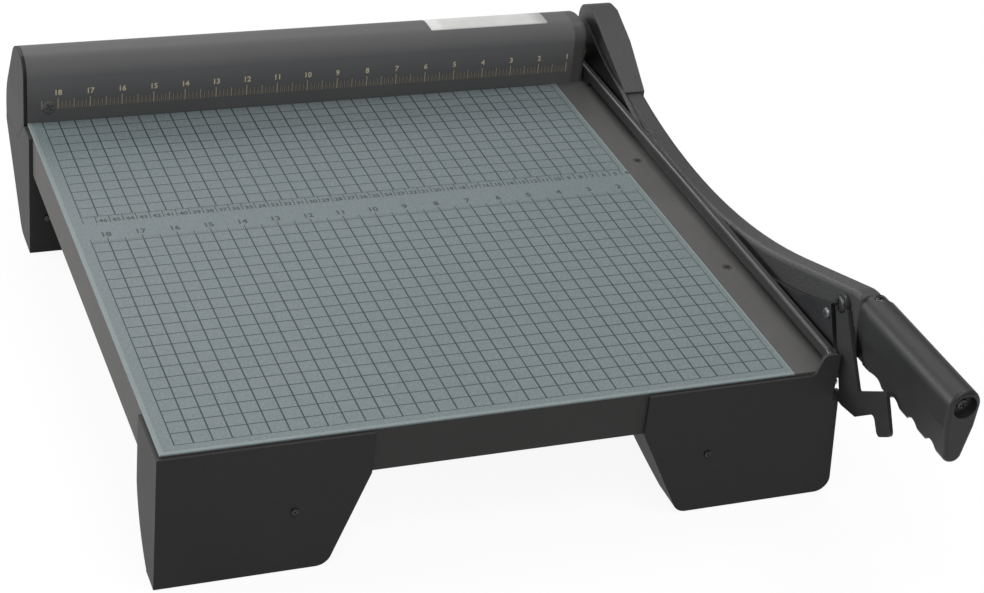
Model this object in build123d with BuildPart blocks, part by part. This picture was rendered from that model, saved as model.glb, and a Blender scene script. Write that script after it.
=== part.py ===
"""Guillotine paper trimmer.

A gridded board stands on four moulded legs. A hollow rule bar closes its rear edge, and a curved blade arm
hinges beside the bar's right end, passes a fixed bed knife and ends in a finger grip with a safety latch.
Millimetres, +X towards the blade, +Y towards the rule bar, +Z up, origin on the desk at the middle.
Distances named "back" run from the table's front edge, "rise" and "drop" from the table's top.
"""
import os
from math import asin, cos, degrees, radians, sin, sqrt

from build123d import *

os.makedirs("parts", exist_ok=True)

# Paper table
sheet_width = 448.5
sheet_depth = 454.0
sheet_thickness = 1.6
board_thickness = 32.4
board_under_bar = 62.0
table_height = 106.5

# Cutting edge of the table
ledger_width = 30.0
ledger_thickness = 5.0
ledger_screw_backs = (143.0, 312.0)
knife_thickness = 3.0
knife_height = 20.0
knife_screw_backs = (60.0, 200.0, 340.0)
knife_screw_drop = 10.0
blade_gap = 0.3

# Finger guard over the bed knife
guard_width = 6.5
guard_inset = 1.0
guard_slot = 5.0
guard_thickness = 8.0
guard_foot = 10.0
guard_overrun = 18.0
guard_edge = 2.0

# Rule bar
bar_depth = 80.0
bar_front_rise = 37.0
bar_front_round = 15.5
bar_top_flat = 8.5
bar_back_round = 30.0
bar_back_slope = 56.0
bar_heel_round = 47.0
bar_heel_drop = 31.0
bar_wall = 3.0
cap_thickness = 3.0
cap_tip_back = 24.0
cap_tip_drop = 25.0
cap_plug = 26.0
cap_screw_inset = 17.0
cap_screw_rise = 13.0
cap_screw_radius = 2.6

# Pivot bracket at the bar's right end, and the arm's pivot in it
bracket_width = 12.0
bracket_setback = 5.0
bracket_edge = 5.0
boss_radius = 9.0
pivot_back = 28.0
pivot_rise = 14.0
pivot_radius = 6.0
pivot_clearance = 0.05
pivot_side_gap = 0.1
washer_thickness = 0.4
bush_wall = 3.0
bush_clearance = 0.02
bush_proud = 1.0
nut_height = 9.0
nut_across = 18.0
bolt_head_height = 6.0
bolt_head_across = 17.0
cavity_radius = 14.0
cavity_depth = 14.0
pivot_cap_radius = 17.0
pivot_cap_thickness = 3.0
pivot_cap_edge = 1.0
pivot_cap_plug = 3.0

# Legs
leg_wrap = 3.0
leg_lip = 2.5
leg_lip_drop = 2.4
leg_wall = 2.5
leg_slant = 27.0
right_leg_slant = 35.5
leg_bottom_round = 11.0
leg_screw_radius = 1.2
front_leg_width = 144.0
front_leg_wing = 50.0
front_leg_shoulder_drop = 24.0
front_leg_toe = 18.0
front_leg_bulge = 12.5
front_leg_screw_inset = 51.5
front_leg_screw_drop = 56.6
front_leg_rib_offsets = (22.0, 66.0)
flare_drop = 26.0
flare_ledge = 5.0
flare_width = 8.0
ear_width = 18.0
ear_top_width = 12.5
ear_rise = 13.5
ear_round = 4.0
rear_leg_width = 112.0
rear_leg_setback = 22.0
rear_leg_foot = 36.0
rear_leg_round = 20.0
rear_leg_heel_drop = 36.0
rear_leg_screw_inset = 14.0
rear_leg_screw_drop = 74.0
cleat_width = 20.0
cleat_depth = 18.0
cleat_below_screw = 7.0
foot_thickness = 1.0
foot_inset = 3.0
rear_pad_depth = 20.0

# Cutting blade
blade_thickness = 3.5
blade_front_foot = (1.0, -9.0)
blade_front_top = (25.5, 38.0)
blade_dip = (237.0, -7.0)
blade_eye = 19.0
edge_dip = (235.0, -32.0)
blade_bore_clearance = 0.5

# Rear end of the blade, in distances ahead of the pivot and above it
blade_rear_top = (85.0, 4.5)
blade_ridge = (32.0, 17.5)
blade_heel_height = 39.0
blade_heel_round = 18.0
edge_rear = (17.0, -20.0)

# Blade arm
arm_thickness = 18.0
arm_depth = 30.0
arm_dip_back = 273.6
arm_dip_rise = 2.9
arm_curve = 572.7
arm_straight_back = 96.7
arm_knee_back = 4.0
arm_heel_back = 26.0
arm_round = 4.0
knee_round = 30.0
neck_reach = 5.0
neck_bottom_rise = 11.0
neck_round = 3.5
housing_thickness = 24.0
housing_reach = 87.0
housing_step = 2.0
housing_middle = (44.0, 23.0)
housing_top = (4.0, 40.2)
housing_tail = 22.0
housing_belly = 30.0
housing_belly_run = 60.0
housing_round = 15.0
housing_edge = 1.5
housing_taper = 55.0

# Grip
grip_width = 24.0
handle_reach = 128.0
grip_centre_rise = 51.0
grip_belly_rise = 36.0
grip_belly_radius = 11.2
grip_tip_rise = 13.5
grip_tip_radius = 7.0
grip_collar_length = 10.0
grip_collar_step = 1.0
grip_collar_rise = 12.0
grip_collar_back = -20.0
groove_first_back = -36.0
groove_pitch = 24.5
groove_end_plain = 5.0
groove_rise = 14.5
lobe_rise = 7.5
grip_end_round = 3.2
grip_recess_radius = 8.5
grip_recess_depth = 5.0
tang_width = 9.0
tang_height = 18.0
tang_setback = 27.0
tang_clearance = 0.2
grip_screw_inset = 5.5
grip_screw_seat = 1.5

# Latch
latch_thickness = 3.0
latch_side_gap = 0.1
latch_pivot = (13.0, 45.0)
latch_eye = 7.5
latch_pin_radius = 3.0
latch_pin_clearance = 0.05
latch_washer_radius = 6.0
latch_corner = 1.5
latch_tab_corner = 4.0
latch_outline = (
    (19.0, 40.0), (-7.0, -15.5), (1.5, -17.5), (1.5, -21.5), (-13.0, -22.5), (-32.0, -19.5), (-53.0, -3.0),
    (-62.5, -15.5), (-77.0, -5.5), (-61.0, 21.0), (-29.0, 0.0), (4.5, 45.5),
)
strike_back = 5.2
strike_drop = 14.5
strike_radius = 2.5
strike_length = 4.5

# Screws
screw_radius = 2.0
screw_head_height = 1.8
screw_head_edge = 0.6
screw_length = 14.0
screw_clearance = 0.1
slim_screw_radius = 1.0
slim_screw_bite = 4.0
blade_screw_first = 62.0
blade_screw_margin = 65.0
blade_screw_count = 4
blade_screw_skin = 0.8
front_blade_screw_spot = (27.0, 29.0)
bar_screw_gap = 12.0
bracket_screw_backs = (44.0, 55.0)

# Places in the frame, from the driving dimensions
corner = (Align.MIN, Align.MIN, Align.MIN)
under = (Align.CENTER, Align.CENTER, Align.MAX)
above = (Align.CENTER, Align.CENTER, Align.MIN)
facing_left = (-1, 0, 0)
facing_right = (1, 0, 0)
facing_front = (0, -1, 0)
facing_down = (0, 0, -1)

overall_width = (leg_wrap + sheet_width + ledger_width + knife_thickness
                 + blade_gap + blade_thickness + housing_thickness + pivot_cap_thickness)
overall_depth = handle_reach + sheet_depth + bar_depth
left_face = -overall_width / 2
sheet_left = left_face + leg_wrap
ledger_left = sheet_left + sheet_width
knife_left = ledger_left + ledger_width
cut_x = knife_left + knife_thickness
blade_x = cut_x + blade_gap
arm_x = blade_x + blade_thickness
arm_right = arm_x + arm_thickness
housing_right = arm_x + housing_thickness
sheet_front = handle_reach - overall_depth / 2
sheet_back = sheet_front + sheet_depth
bar_back = sheet_back + bar_depth
board_back = sheet_back + board_under_bar
board_top = table_height - sheet_thickness
board_bottom = board_top - board_thickness
ledger_bottom = table_height - ledger_thickness
lip_top = table_height - leg_lip_drop
leg_bottom = foot_thickness
pivot_y = sheet_back + pivot_back
pivot_z = table_height + pivot_rise
bar_left = left_face + cap_thickness
bracket_right = knife_left - bracket_setback
bar_right = bracket_right - bracket_width


def side_point(spot):
    """A point of a side view, given as back and rise."""
    return (sheet_front + spot[0], table_height + spot[1])


def pivot_point(spot):
    """A point of a side view, given as the distance ahead of the arm's pivot and the height above it."""
    return (pivot_y - spot[0], pivot_z + spot[1])


def screw_solid(place, length, radius=screw_radius):
    """A pan-head screw: its head stands on the plane of place and its shank runs in behind it."""
    with BuildPart(place) as screw:
        Cylinder(radius, length, align=under)
        Cylinder(2 * radius, screw_head_height, align=above)
        rims = screw.edges().filter_by(GeomType.CIRCLE)
        chamfer(rims.sort_by(Axis(place.origin, place.z_dir))[-1], screw_head_edge)
    return screw.part


def flush_screw_solid(place, length, radius=screw_radius):
    """A countersunk screw whose head ends level with the plane of place."""
    with BuildPart(place) as screw:
        Cylinder(radius, length, align=under)
        Cone(radius, 2 * radius, screw_head_height, align=under)
    return screw.part


def screw_hole(place, length, radius=screw_radius):
    """The hole round a screw's shank."""
    with BuildPart(place) as hole:
        Cylinder(radius + screw_clearance, length + screw_clearance, align=under)
    return hole.part


def sink_hole(place, length, radius=screw_radius):
    """The hole round a countersunk screw."""
    with BuildPart(place) as hole:
        Cylinder(radius + screw_clearance, length + screw_clearance, align=under)
        Cone(radius + screw_clearance, 2 * radius + screw_clearance, screw_head_height, align=under)
    return hole.part


# Screw places: each plane lies on the surface that the screw's head sits on
ledger_screw_places = [
    Plane((ledger_left + ledger_width / 2, sheet_front + back, table_height)) for back in ledger_screw_backs
]
knife_screw_places = [
    Plane((cut_x, sheet_front + back, table_height - knife_screw_drop), z_dir=facing_right)
    for back in knife_screw_backs
]
strike_place = Plane((cut_x, sheet_front + strike_back, table_height - strike_drop), z_dir=facing_right)
guard_right = cut_x - guard_inset
guard_left = guard_right - guard_width
guard_screw_places = [
    Plane(((guard_left + knife_left) / 2, y, ledger_bottom), z_dir=facing_down)
    for y in (sheet_front + guard_foot / 2, sheet_back - guard_foot / 2)
]
guard_screw_length = ledger_thickness + slim_screw_bite
bar_screw_left = left_face + rear_leg_width + bar_screw_gap
bar_screw_right = knife_left - rear_leg_width - bar_screw_gap
bar_screw_places = [
    Plane((x, sheet_back + board_under_bar / 2, board_bottom), z_dir=facing_down)
    for x in (bar_screw_left, (bar_screw_left + bar_screw_right) / 2, bar_screw_right)
]
bar_screw_length = board_thickness + bar_wall + screw_head_height
bracket_screw_places = [
    Plane(((bar_right + bracket_right) / 2, sheet_back + back, board_bottom), z_dir=facing_down)
    for back in bracket_screw_backs
]
bracket_screw_length = board_thickness + screw_length
cap_screw_place = Plane(
    (sheet_left + cap_screw_inset, sheet_back, table_height + cap_screw_rise), z_dir=facing_front
)

# Baseboard: the thick core, with a rebate for the ledger strip along its right edge
with BuildPart() as baseboard:
    with Locations((sheet_left, sheet_front, board_bottom)):
        Box(sheet_width + ledger_width, board_back - sheet_front, board_thickness, align=corner)
    with Locations((ledger_left, sheet_front, ledger_bottom)):
        Box(ledger_width, sheet_depth, ledger_thickness, align=corner, mode=Mode.SUBTRACT)
    for place in ledger_screw_places + knife_screw_places:
        add(screw_hole(place, screw_length), mode=Mode.SUBTRACT)
    add(screw_hole(strike_place, screw_length, strike_radius), mode=Mode.SUBTRACT)
    for place in bar_screw_places + bracket_screw_places:
        add(screw_hole(place, bar_screw_length), mode=Mode.SUBTRACT)

# Printed sheet on top of the board
with BuildPart() as table_sheet:
    with Locations((sheet_left, sheet_front, board_top)):
        Box(sheet_width, sheet_depth, sheet_thickness, align=corner)

# Ledger strip beside the sheet, level with it
with BuildPart() as ledger_strip:
    with Locations((ledger_left, sheet_front, ledger_bottom)):
        Box(ledger_width, sheet_depth, ledger_thickness, align=corner)
    for place in ledger_screw_places:
        add(sink_hole(place, screw_length), mode=Mode.SUBTRACT)
    for place in guard_screw_places:
        add(sink_hole(place, guard_screw_length, slim_screw_radius), mode=Mode.SUBTRACT)

with BuildPart() as ledger_screws:
    for place in ledger_screw_places:
        add(flush_screw_solid(place, screw_length))

# Bed knife: the fixed steel edge that the blade shears against
with BuildPart() as bed_knife:
    with Locations((knife_left, sheet_front, table_height - knife_height)):
        Box(knife_thickness, sheet_depth, knife_height, align=corner)
    for place in knife_screw_places:
        add(sink_hole(place, screw_length), mode=Mode.SUBTRACT)
    add(screw_hole(strike_place, screw_length, strike_radius), mode=Mode.SUBTRACT)

with BuildPart() as knife_screws:
    for place in knife_screw_places:
        add(flush_screw_solid(place, screw_length))

# Strike pin for the latch, driven through the bed knife into the board
with BuildPart(strike_place) as strike_pin:
    Cylinder(strike_radius, screw_length, align=under)
    Cylinder(strike_radius, strike_length, align=above)

# Finger guard: a rail on two feet, with the paper slot under it
guard_top = table_height + guard_slot + guard_thickness
guard_rear = sheet_back + guard_overrun
with BuildPart() as finger_guard:
    with BuildSketch(Plane.YZ.offset(guard_left)):
        with BuildLine():
            Polyline(
                (sheet_front, table_height),
                (sheet_front + guard_foot, table_height),
                (sheet_front + guard_foot, table_height + guard_slot),
                (sheet_back - guard_foot, table_height + guard_slot),
                (sheet_back - guard_foot, table_height),
                (sheet_back, table_height),
                (sheet_back, table_height + guard_slot),
                (guard_rear, table_height + guard_slot),
                (guard_rear, guard_top),
                (sheet_front, guard_top),
                close=True,
            )
        make_face()
    extrude(amount=guard_width)
    fillet(finger_guard.edges().filter_by(Axis.X).group_by(Axis.Z)[-1].sort_by(Axis.Y)[0], guard_thickness)
    fillet(finger_guard.faces().sort_by(Axis.Z)[-1].edges().filter_by(Axis.Y), guard_edge)
    for place in guard_screw_places:
        add(screw_hole(place, guard_screw_length, slim_screw_radius), mode=Mode.SUBTRACT)

with BuildPart() as guard_screws:
    for place in guard_screw_places:
        add(flush_screw_solid(place, guard_screw_length, slim_screw_radius))

# Rule bar: its section turns only one way, so the inside runs beside the outside with smaller rounds
slope_angle = radians(bar_back_slope)
slope_run = (bar_depth - bar_front_round - bar_top_flat - bar_back_round * sin(slope_angle)
             - bar_heel_round * (1 - sin(slope_angle))) / cos(slope_angle)
bar_heel = (bar_back, table_height - bar_heel_drop)


def bar_path(inset):
    """The bar's section from its front foot over the top to its heel, moved in by inset."""
    front_edge = (sheet_back + inset, table_height + bar_front_rise)
    with BuildLine() as path:
        Line((sheet_back + inset, board_top), front_edge)
        front = JernArc(front_edge, (0, 1), bar_front_round - inset, -90)
        top = Line(front @ 1, front @ 1 + Vector(bar_top_flat, 0))
        back = JernArc(top @ 1, (1, 0), bar_back_round - inset, -bar_back_slope)
        slope = Line(back @ 1, back @ 1 + (back % 1) * slope_run)
        heel = JernArc(slope @ 1, slope % 1, bar_heel_round - inset, bar_back_slope - 90)
        Line(heel @ 1, (bar_heel[0] - inset, bar_heel[1]))
    return path.line


def bar_outline(lower_points):
    """The bar's outer section, closed through the given points under it."""
    with BuildSketch() as outline:
        with BuildLine():
            add(bar_path(0))
            Polyline(bar_heel, *lower_points, (sheet_back, board_top))
        make_face()
    return outline.sketch


with BuildPart() as rule_bar:
    with BuildSketch(Plane.YZ.offset(bar_left)):
        with BuildLine():
            add(bar_path(0))
            add(bar_path(bar_wall))
            Line((sheet_back, board_top), (sheet_back + bar_wall, board_top))
            Line(bar_heel, (bar_heel[0] - bar_wall, bar_heel[1]))
        make_face()
        with Locations((sheet_back, board_top)):
            Rectangle(board_under_bar, bar_wall, align=(Align.MIN, Align.MIN))
    extrude(amount=bar_right - bar_left)
    for place in bar_screw_places:
        add(screw_hole(place, bar_screw_length), mode=Mode.SUBTRACT)
    add(screw_hole(cap_screw_place, screw_length, cap_screw_radius), mode=Mode.SUBTRACT)

with BuildPart() as bar_screws:
    for place in bar_screw_places:
        add(screw_solid(place, bar_screw_length))

# Left end cap: reaches down past the board in a point, and plugs into the bar behind its front wall
cap_tip = (sheet_back + cap_tip_back, table_height - cap_tip_drop)
with BuildPart() as left_end_cap:
    with BuildSketch(Plane.YZ.offset(left_face)):
        add(bar_outline([cap_tip]))
    extrude(amount=cap_thickness)
    with Locations((bar_left, sheet_back + bar_wall, board_top + bar_wall)):
        Box(cap_plug, screw_length, bar_front_rise - bar_wall, align=corner)
    add(screw_hole(cap_screw_place, screw_length, cap_screw_radius), mode=Mode.SUBTRACT)

with BuildPart() as cap_screw:
    add(screw_solid(cap_screw_place, screw_length, cap_screw_radius))

# Pivot bracket: an end block with the bar's section, beside the guard, and a boss that meets the blade
boss_face = blade_x - pivot_side_gap - washer_thickness
pivot_place = Plane((boss_face, pivot_y, pivot_z), z_dir=facing_right)
with BuildPart() as pivot_bracket:
    with BuildSketch(Plane.YZ.offset(bar_right)):
        add(bar_outline([(board_back, bar_heel[1]), (board_back, board_top)]))
    extrude(amount=bracket_width)
    fillet(pivot_bracket.faces().sort_by(Axis.X)[-1].edges().sort_by(Axis.Z)[-1], bracket_edge)
    with Locations(pivot_place):
        Cylinder(boss_radius, boss_face - bracket_right, align=under)
        Cylinder(pivot_radius + screw_clearance, boss_face - bar_right, align=under, mode=Mode.SUBTRACT)
    for place in bracket_screw_places:
        add(screw_hole(place, bracket_screw_length), mode=Mode.SUBTRACT)

with BuildPart() as bracket_screws:
    for place in bracket_screw_places:
        add(screw_solid(place, bracket_screw_length))

# Front legs: a front outline crossed with a side outline, hollowed from the rear and ribbed
leg_front = sheet_front - leg_lip
wing_back = sheet_front + front_leg_wing
with BuildSketch() as front_leg_side:
    with BuildLine():
        shoulder = (wing_back, table_height - front_leg_shoulder_drop)
        toe = (sheet_front + front_leg_toe, leg_bottom + leg_wall / 2)
        Polyline(toe, (toe[0], leg_bottom), (leg_front, leg_bottom), (leg_front, table_height + ear_rise),
                 (wing_back, table_height + ear_rise), shoulder)
        SagittaArc(shoulder, toe, front_leg_bulge)
    make_face()


def front_leg(front_outline, screw_place, outward):
    """A moulded front leg, with its ribs outward from its screw."""
    with BuildPart() as leg:
        with BuildSketch(Plane.XZ.offset(-leg_front)):
            add(front_outline)
        extrude(amount=leg_front - wing_back)
        with BuildSketch(Plane.XZ.offset(-sheet_front)):
            offset(front_outline, amount=-leg_wall)
        extrude(amount=-front_leg_wing, mode=Mode.SUBTRACT)
        for distance in front_leg_rib_offsets:
            with Locations((screw_place.origin.X + outward * distance, sheet_front, leg_bottom)):
                Box(leg_wall, front_leg_wing, board_bottom - leg_bottom,
                    align=(Align.CENTER, Align.MIN, Align.MIN))
        with BuildSketch(Plane.YZ.offset(left_face)):
            add(front_leg_side.sketch)
        extrude(amount=overall_width, mode=Mode.INTERSECT)
        with Locations((sheet_left, sheet_front, board_bottom)):
            Box(cut_x - sheet_left, front_leg_wing, table_height + ear_rise - board_bottom, align=corner,
                mode=Mode.SUBTRACT)
        add(screw_hole(screw_place, screw_length, leg_screw_radius), mode=Mode.SUBTRACT)
    return leg.part


front_left_face = sheet_left - leg_lip
front_left_inner = front_left_face + front_leg_width
with BuildSketch() as front_left_outline:
    with BuildLine():
        Polyline(
            (front_left_face, leg_bottom),
            (front_left_inner - leg_slant, leg_bottom),
            (front_left_inner, board_bottom),
            (front_left_inner, lip_top),
            (front_left_face, lip_top),
            close=True,
        )
    make_face()
    fillet(front_left_outline.vertices().group_by(Axis.Y)[0].sort_by(Axis.X)[-1], leg_bottom_round)

# The right leg stays clear of the blade, flares out below it and has a leaning ear in front of the guard
front_right_face = cut_x - guard_inset / 2
flare_top = front_right_face + flare_ledge
front_right_inner = front_right_face - front_leg_width
ear_left = front_right_face - ear_width
ear_top = table_height + ear_rise
with BuildSketch() as front_right_outline:
    with BuildLine():
        Polyline(
            (front_right_inner, lip_top),
            (front_right_inner, board_bottom),
            (front_right_inner + right_leg_slant, leg_bottom),
            (flare_top + flare_width, leg_bottom),
            (flare_top, table_height - flare_drop),
            (front_right_face, table_height - flare_drop),
            (front_right_face, ear_top),
            (front_right_face - ear_top_width, ear_top),
            (ear_left, lip_top),
            close=True,
        )
    make_face()
    fillet(front_right_outline.vertices().group_by(Axis.Y)[0], leg_bottom_round)
    fillet(front_right_outline.vertices().group_by(Axis.Y)[-1], ear_round)
    fillet(front_right_outline.vertices().sort_by_distance(Vector(ear_left, lip_top))[0], ear_round)

front_screw_z = table_height - front_leg_screw_drop
front_left_screw_place = Plane(
    (front_left_inner - front_leg_screw_inset, leg_front, front_screw_z), z_dir=facing_front
)
front_right_screw_place = Plane(
    (front_right_inner + front_leg_screw_inset, leg_front, front_screw_z), z_dir=facing_front
)
front_left_leg = front_leg(front_left_outline.sketch, front_left_screw_place, -1)
front_right_leg = front_leg(front_right_outline.sketch, front_right_screw_place, 1)

# Rear legs: boxes under the board with an upright front and a back that slants down to the foot
rear_leg_front = sheet_back - rear_leg_setback
rear_heel_z = table_height - rear_leg_heel_drop


def rear_leg_block(outer, inward, wall):
    """The rear leg's outside, or its hollow when given a wall."""
    inner = outer + inward * rear_leg_width
    floor = leg_bottom + wall
    with BuildPart() as block:
        with BuildSketch(Plane.XZ.offset(-rear_leg_front - wall)):
            with BuildLine():
                Polyline(
                    (outer + inward * wall, floor),
                    (inner - inward * (leg_slant + wall), floor),
                    (inner - inward * wall, board_bottom),
                    (outer + inward * wall, board_bottom),
                    close=True,
                )
            make_face()
        extrude(amount=rear_leg_front - bar_back)
        with BuildSketch(Plane.YZ.offset(left_face)) as side:
            with BuildLine():
                Polyline(
                    (rear_leg_front, floor),
                    (rear_leg_front + rear_leg_foot - wall, floor),
                    (bar_back - wall, rear_heel_z),
                    (bar_back - wall, board_bottom),
                    (rear_leg_front, board_bottom),
                    close=True,
                )
            make_face()
            fillet(side.vertices().group_by(Axis.Y)[0].sort_by(Axis.X)[-1], rear_leg_round - wall)
        extrude(amount=overall_width, mode=Mode.INTERSECT)
    return block.part


rear_screw_z = table_height - rear_leg_screw_drop
rear_left_screw_place = Plane(
    (left_face + rear_leg_screw_inset, rear_leg_front, rear_screw_z), z_dir=facing_front
)
rear_right_screw_place = Plane(
    (knife_left - rear_leg_screw_inset, rear_leg_front, rear_screw_z), z_dir=facing_front
)
with BuildPart() as rear_left_leg:
    add(rear_leg_block(left_face, 1, 0))
    add(rear_leg_block(left_face, 1, leg_wall), mode=Mode.SUBTRACT)
    with BuildSketch(Plane.YZ.offset(left_face)):
        with BuildLine():
            Polyline(
                (rear_leg_front, board_bottom),
                (rear_leg_front, lip_top),
                (sheet_back, lip_top),
                cap_tip,
                bar_heel,
                (bar_back, board_bottom),
                close=True,
            )
        make_face()
    extrude(amount=leg_wrap)
    add(screw_hole(rear_left_screw_place, screw_length, leg_screw_radius), mode=Mode.SUBTRACT)

with BuildPart() as rear_right_leg:
    add(rear_leg_block(knife_left, -1, 0))
    add(rear_leg_block(knife_left, -1, leg_wall), mode=Mode.SUBTRACT)
    add(screw_hole(rear_right_screw_place, screw_length, leg_screw_radius), mode=Mode.SUBTRACT)

# Cleats under the board, one behind each leg screw
leg_screw_places = [
    front_left_screw_place, front_right_screw_place, rear_left_screw_place, rear_right_screw_place,
]
with BuildPart() as leg_cleats:
    for place in leg_screw_places:
        cleat_bottom = place.origin.Z - cleat_below_screw
        with Locations((place.origin.X, place.origin.Y + leg_wall, cleat_bottom)):
            Box(
                cleat_width,
                cleat_depth,
                board_bottom - cleat_bottom,
                align=(Align.CENTER, Align.MIN, Align.MIN),
            )
        add(screw_hole(place, screw_length, leg_screw_radius), mode=Mode.SUBTRACT)

with BuildPart() as leg_screws:
    for place in leg_screw_places:
        add(screw_solid(place, screw_length, leg_screw_radius))

# Rubber pads under the four feet
front_pad_depth = front_leg_toe + leg_lip - 2 * foot_inset
left_pad_width = front_leg_width - leg_slant - leg_bottom_round - foot_inset
right_pad_width = front_leg_width - right_leg_slant - leg_bottom_round - foot_inset
rear_pad_width = rear_leg_width - leg_slant - 2 * foot_inset
with BuildPart() as rubber_feet:
    with Locations((front_left_face + foot_inset, leg_front + foot_inset, 0)):
        Box(left_pad_width, front_pad_depth, foot_thickness, align=corner)
    with Locations((front_right_face - foot_inset - right_pad_width, leg_front + foot_inset, 0)):
        Box(right_pad_width, front_pad_depth, foot_thickness, align=corner)
    with Locations(
        (left_face + foot_inset, rear_leg_front + foot_inset, 0),
        (knife_left - foot_inset - rear_pad_width, rear_leg_front + foot_inset, 0),
    ):
        Box(rear_pad_width, rear_pad_depth, foot_thickness, align=corner)

# Pivot: a bolt through bracket, blade and arm, with its nut inside the bar and its head inside the arm
cavity_floor = housing_right - cavity_depth
bush_radius = pivot_radius + pivot_clearance + bush_wall
bush_end = cavity_floor + bush_proud
head_face = bush_end + pivot_side_gap
head_place = Plane((head_face, pivot_y, pivot_z), z_dir=facing_right)
nut_place = Plane((bar_right, pivot_y, pivot_z), z_dir=facing_left)
with BuildPart() as pivot_bolt:
    with BuildSketch(head_place):
        Circle(pivot_radius)
    extrude(amount=bar_right - nut_height - head_face)
    with BuildSketch(head_place):
        RegularPolygon(bolt_head_across / 2, 6, major_radius=False)
    extrude(amount=bolt_head_height)

with BuildPart() as pivot_nut:
    with BuildSketch(nut_place):
        RegularPolygon(nut_across / 2, 6, major_radius=False)
        Circle(pivot_radius, mode=Mode.SUBTRACT)
    extrude(amount=nut_height)

with BuildPart() as pivot_washer:
    with BuildSketch(pivot_place):
        Circle(boss_radius)
        Circle(pivot_radius + screw_clearance, mode=Mode.SUBTRACT)
    extrude(amount=washer_thickness)

with BuildPart() as pivot_bush:
    with BuildSketch(Plane((arm_x, pivot_y, pivot_z), z_dir=facing_right)):
        Circle(bush_radius)
        Circle(pivot_radius + pivot_clearance, mode=Mode.SUBTRACT)
    extrude(amount=bush_end - arm_x)

cavity_place = Plane((housing_right, pivot_y, pivot_z), z_dir=facing_right)
with BuildPart() as pivot_cap:
    with BuildSketch(cavity_place):
        Circle(pivot_cap_radius)
    extrude(amount=pivot_cap_thickness)
    chamfer(pivot_cap.edges().sort_by(Axis.X)[-1], pivot_cap_edge)
    with BuildSketch(cavity_place):
        Circle(cavity_radius - bush_clearance)
    extrude(amount=-pivot_cap_plug)

# Blade arm: a curved beam of even depth that straightens towards its knee, and a housing over the pivot
curve_z = table_height + arm_dip_rise + arm_curve
straight_run = arm_dip_back - arm_straight_back
straight_slope = straight_run / sqrt(arm_curve ** 2 - straight_run ** 2)
under_curve = arm_curve + arm_depth


def arm_edge(back, radius):
    """A point on the beam's top or underside, given that edge's radius."""
    straight_back = arm_dip_back - straight_run * radius / arm_curve
    bend = max(back, straight_back) - arm_dip_back
    z = curve_z - sqrt(radius ** 2 - bend ** 2) + max(0, straight_back - back) * straight_slope
    return (sheet_front + back, z)


def blade_top(back):
    """Height of the blade's top edge, close to its arc."""
    along = (back - blade_dip[0]) / (blade_front_top[0] - blade_dip[0])
    rise = (blade_front_top[1] - blade_dip[1]) * along ** 2
    return table_height + blade_dip[1] + rise


housing_front_back = pivot_y - housing_reach - sheet_front
blade_screw_pitch = (housing_front_back - blade_screw_margin - blade_screw_first) / (blade_screw_count - 1)
blade_screw_places = []
for n in range(blade_screw_count):
    back = blade_screw_first + n * blade_screw_pitch
    screw_z = (arm_edge(back, under_curve)[1] + blade_top(back)) / 2
    blade_screw_places.append(Plane((arm_right, sheet_front + back, screw_z), z_dir=facing_right))
blade_screw_length = arm_thickness + blade_thickness - blade_screw_skin
front_blade_screw_place = Plane((blade_x, *side_point(front_blade_screw_spot)), z_dir=facing_left)
latch_screw_place = Plane((blade_x, *side_point(latch_pivot)), z_dir=facing_left)
latch_screw_length = blade_thickness + screw_length

neck_front = sheet_front - neck_reach
knee = arm_edge(arm_knee_back, arm_curve)
beam_end = pivot_point(housing_middle)[0] - sheet_front
grip_x = arm_x + grip_width / 2
grip_z = table_height + grip_centre_rise
grip_front = sheet_front - handle_reach
tang_end = grip_front + tang_setback
tang_length = neck_front - tang_end
collar_top = grip_z + grip_width / 2 - grip_collar_step
grip_top_place = Plane((grip_x, neck_front - grip_screw_inset, collar_top - grip_screw_seat))
grip_end_place = Plane((grip_x, grip_front + grip_recess_depth, grip_z), z_dir=facing_front)
grip_end_screw_length = tang_end - grip_end_place.origin.Y + screw_length

with BuildPart() as arm_housing:
    with BuildSketch(Plane.YZ.offset(arm_x)) as housing_side:
        with BuildLine():
            tail_y = pivot_y + housing_tail
            belly_z = pivot_z - housing_belly
            housing_peak = pivot_point(housing_top)
            step_y, step_foot_z = arm_edge(housing_front_back, arm_curve)
            housing_nose = (step_y, step_foot_z + housing_step)
            ThreePointArc(housing_nose, pivot_point(housing_middle), housing_peak)
            Polyline(
                housing_peak,
                (tail_y, housing_peak[1]),
                (tail_y, belly_z),
                (tail_y - housing_belly_run, belly_z),
                arm_edge(housing_front_back, under_curve),
                housing_nose,
            )
        make_face()
        fillet(housing_side.vertices().group_by(Axis.X)[-1], housing_round)
    extrude(amount=housing_thickness)
    with BuildSketch(Plane.XY):
        with BuildLine():
            Polyline(
                (arm_right, step_y),
                (housing_right, step_y + housing_taper),
                (housing_right, step_y),
                close=True,
            )
        make_face()
    extrude(amount=2 * table_height, mode=Mode.SUBTRACT)
    housing_face = arm_housing.faces().filter_by(Plane.YZ).sort_by(Axis.X)[-1]
    fillet(housing_face.edges().filter_by(Axis.Z, reverse=True), housing_edge)

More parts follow.
